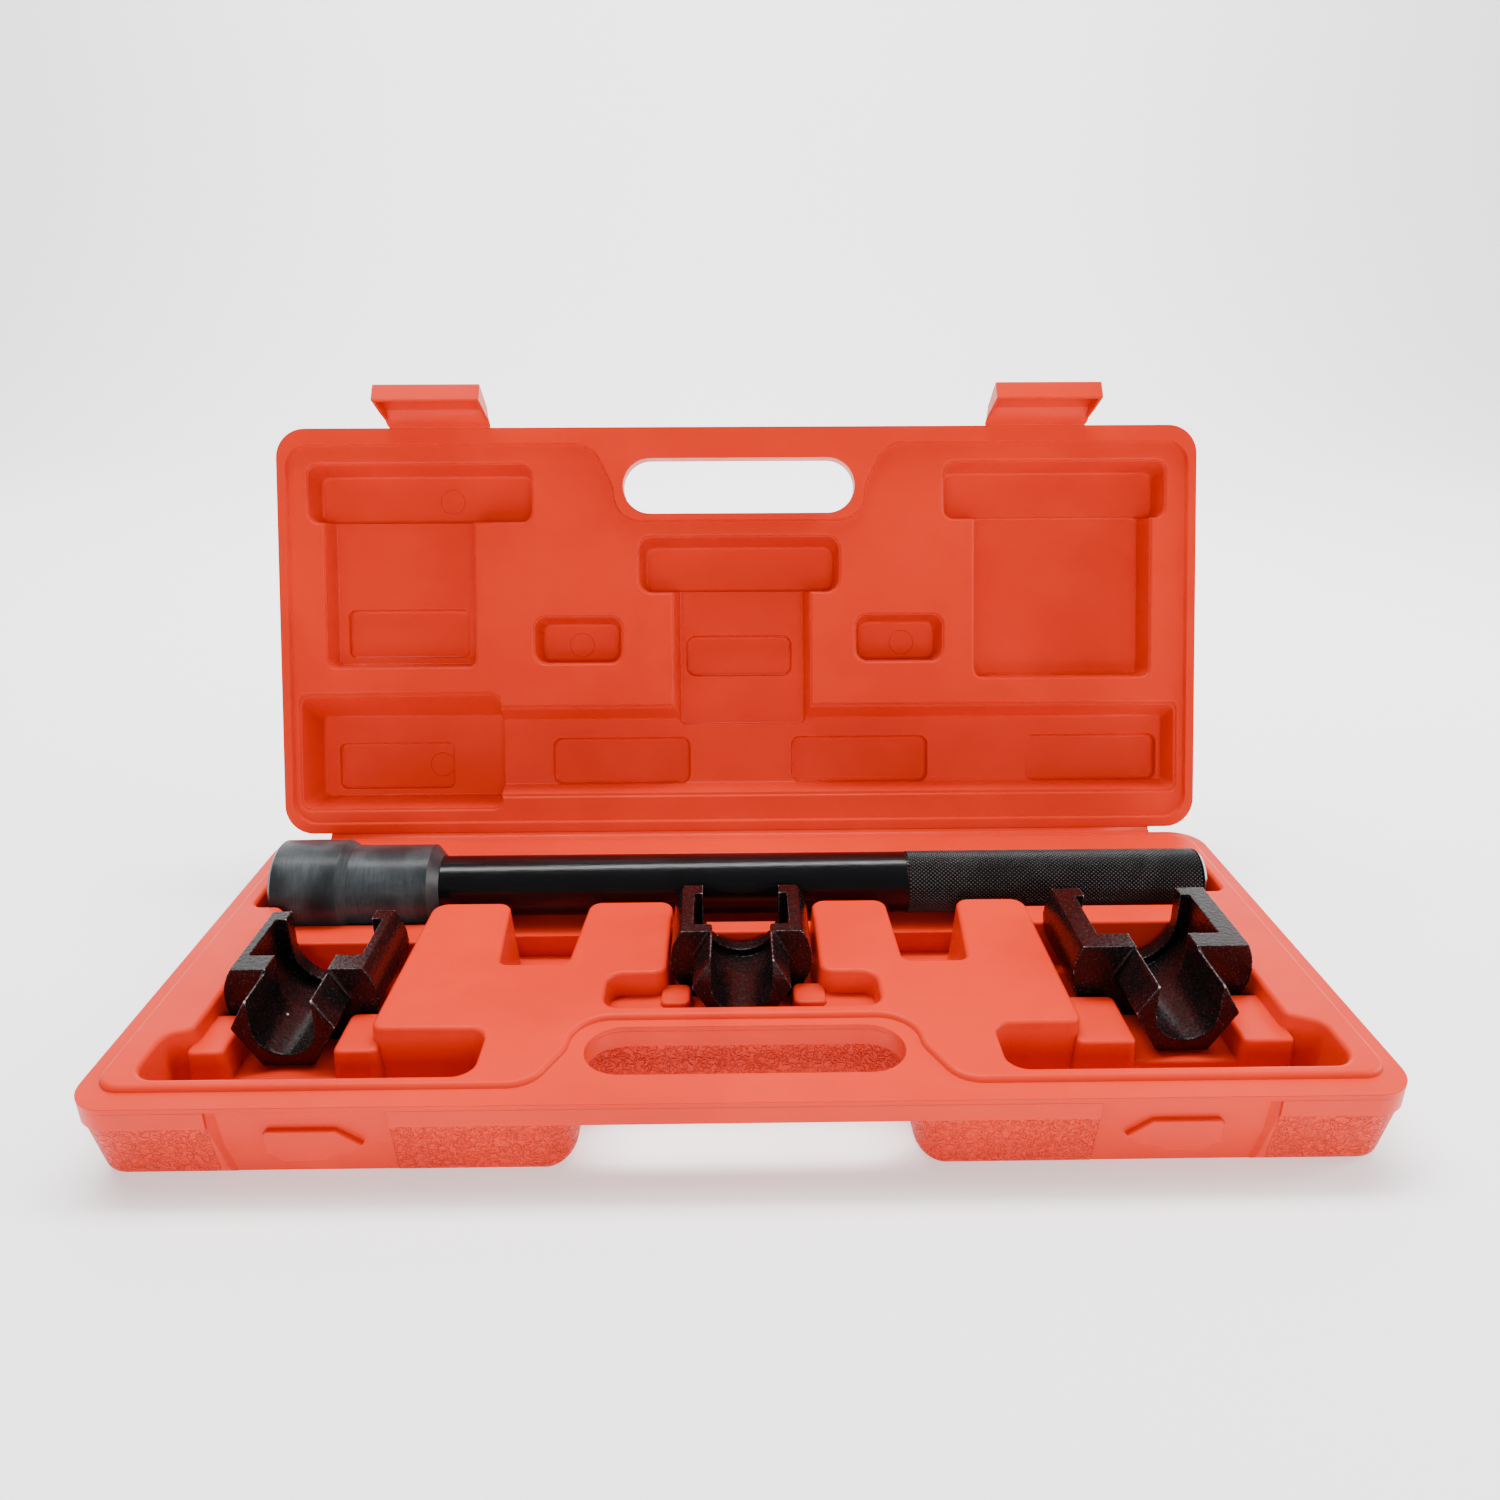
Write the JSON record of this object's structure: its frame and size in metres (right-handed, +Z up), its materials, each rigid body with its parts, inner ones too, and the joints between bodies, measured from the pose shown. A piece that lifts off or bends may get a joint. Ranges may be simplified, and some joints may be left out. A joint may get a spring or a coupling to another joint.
{
  "type": "inner tie rod tool kit",
  "caption": "Inner tie rod tool kit: a tube wrench and crowfoot adapters in an open red moulded case with a hinged lid and latches.",
  "frame": {"origin": "centre of the case base's underside", "axes": "+X along the case towards the wrench's square-drive end, +Y from the handle to the hinge, +Z up"},
  "size_m": [0.48, 0.3077, 0.2578],
  "materials": {
    "case_plastic": "satin moulded polyethylene, grained outside",
    "tool_steel": "satin black oxide",
    "spring_steel": "bright wire",
    "adapter_iron": "rough black-coated casting"
  },
  "bodies": {
    "base": {"case_base_shell": "case_plastic", "case_base_tray": "case_plastic", "hinge_web": "case_plastic"},
    "lid": {"case_lid_shell": "case_plastic", "case_lid_tray": "case_plastic"},
    "latch_left": {"latch_left": "case_plastic"},
    "latch_right": {"latch_right": "case_plastic"},
    "wrench": {"wrench_tube": "tool_steel", "socket_head": "tool_steel", "drive_plug": "tool_steel", "retaining_ring": "spring_steel"},
    "crowfoot_small": {"crowfoot_small": "adapter_iron"},
    "crowfoot_medium": {"crowfoot_medium": "adapter_iron"},
    "crowfoot_large": {"crowfoot_large": "adapter_iron"}
  },
  "joints": [
    {"name": "lid_hinge", "type": "hinge", "parent": "base", "child": "lid", "pos_m": [0, 0.1074, 0.03415], "axis": [-1, 0, 0], "range_deg": [-109.2, 0], "deforming": ["hinge_web"]},
    {"name": "latch_left_hinge", "type": "hinge", "parent": "lid", "child": "latch_left", "pos_m": [-0.155, 0.1778, 0.23587], "axis": [-1, 0, 0], "range_deg": [-20.5, 100], "stiffness_Nm_per_rad": 0.03},
    {"name": "latch_right_hinge", "type": "hinge", "parent": "lid", "child": "latch_right", "pos_m": [0.155, 0.1778, 0.23587], "axis": [-1, 0, 0], "range_deg": [-20.5, 100], "stiffness_Nm_per_rad": 0.03},
    {"name": "wrench_lift", "type": "slide", "parent": "base", "child": "wrench", "axis": [0, 0, 1], "range_m": [0, 0.1]},
    {"name": "crowfoot_small_lift", "type": "slide", "parent": "base", "child": "crowfoot_small", "axis": [0, 0, 1], "range_m": [0, 0.08]},
    {"name": "crowfoot_medium_lift", "type": "slide", "parent": "base", "child": "crowfoot_medium", "axis": [0, 0, 1], "range_m": [0, 0.08]},
    {"name": "crowfoot_large_lift", "type": "slide", "parent": "base", "child": "crowfoot_large", "axis": [0, 0, 1], "range_m": [0, 0.08]}
  ]
}
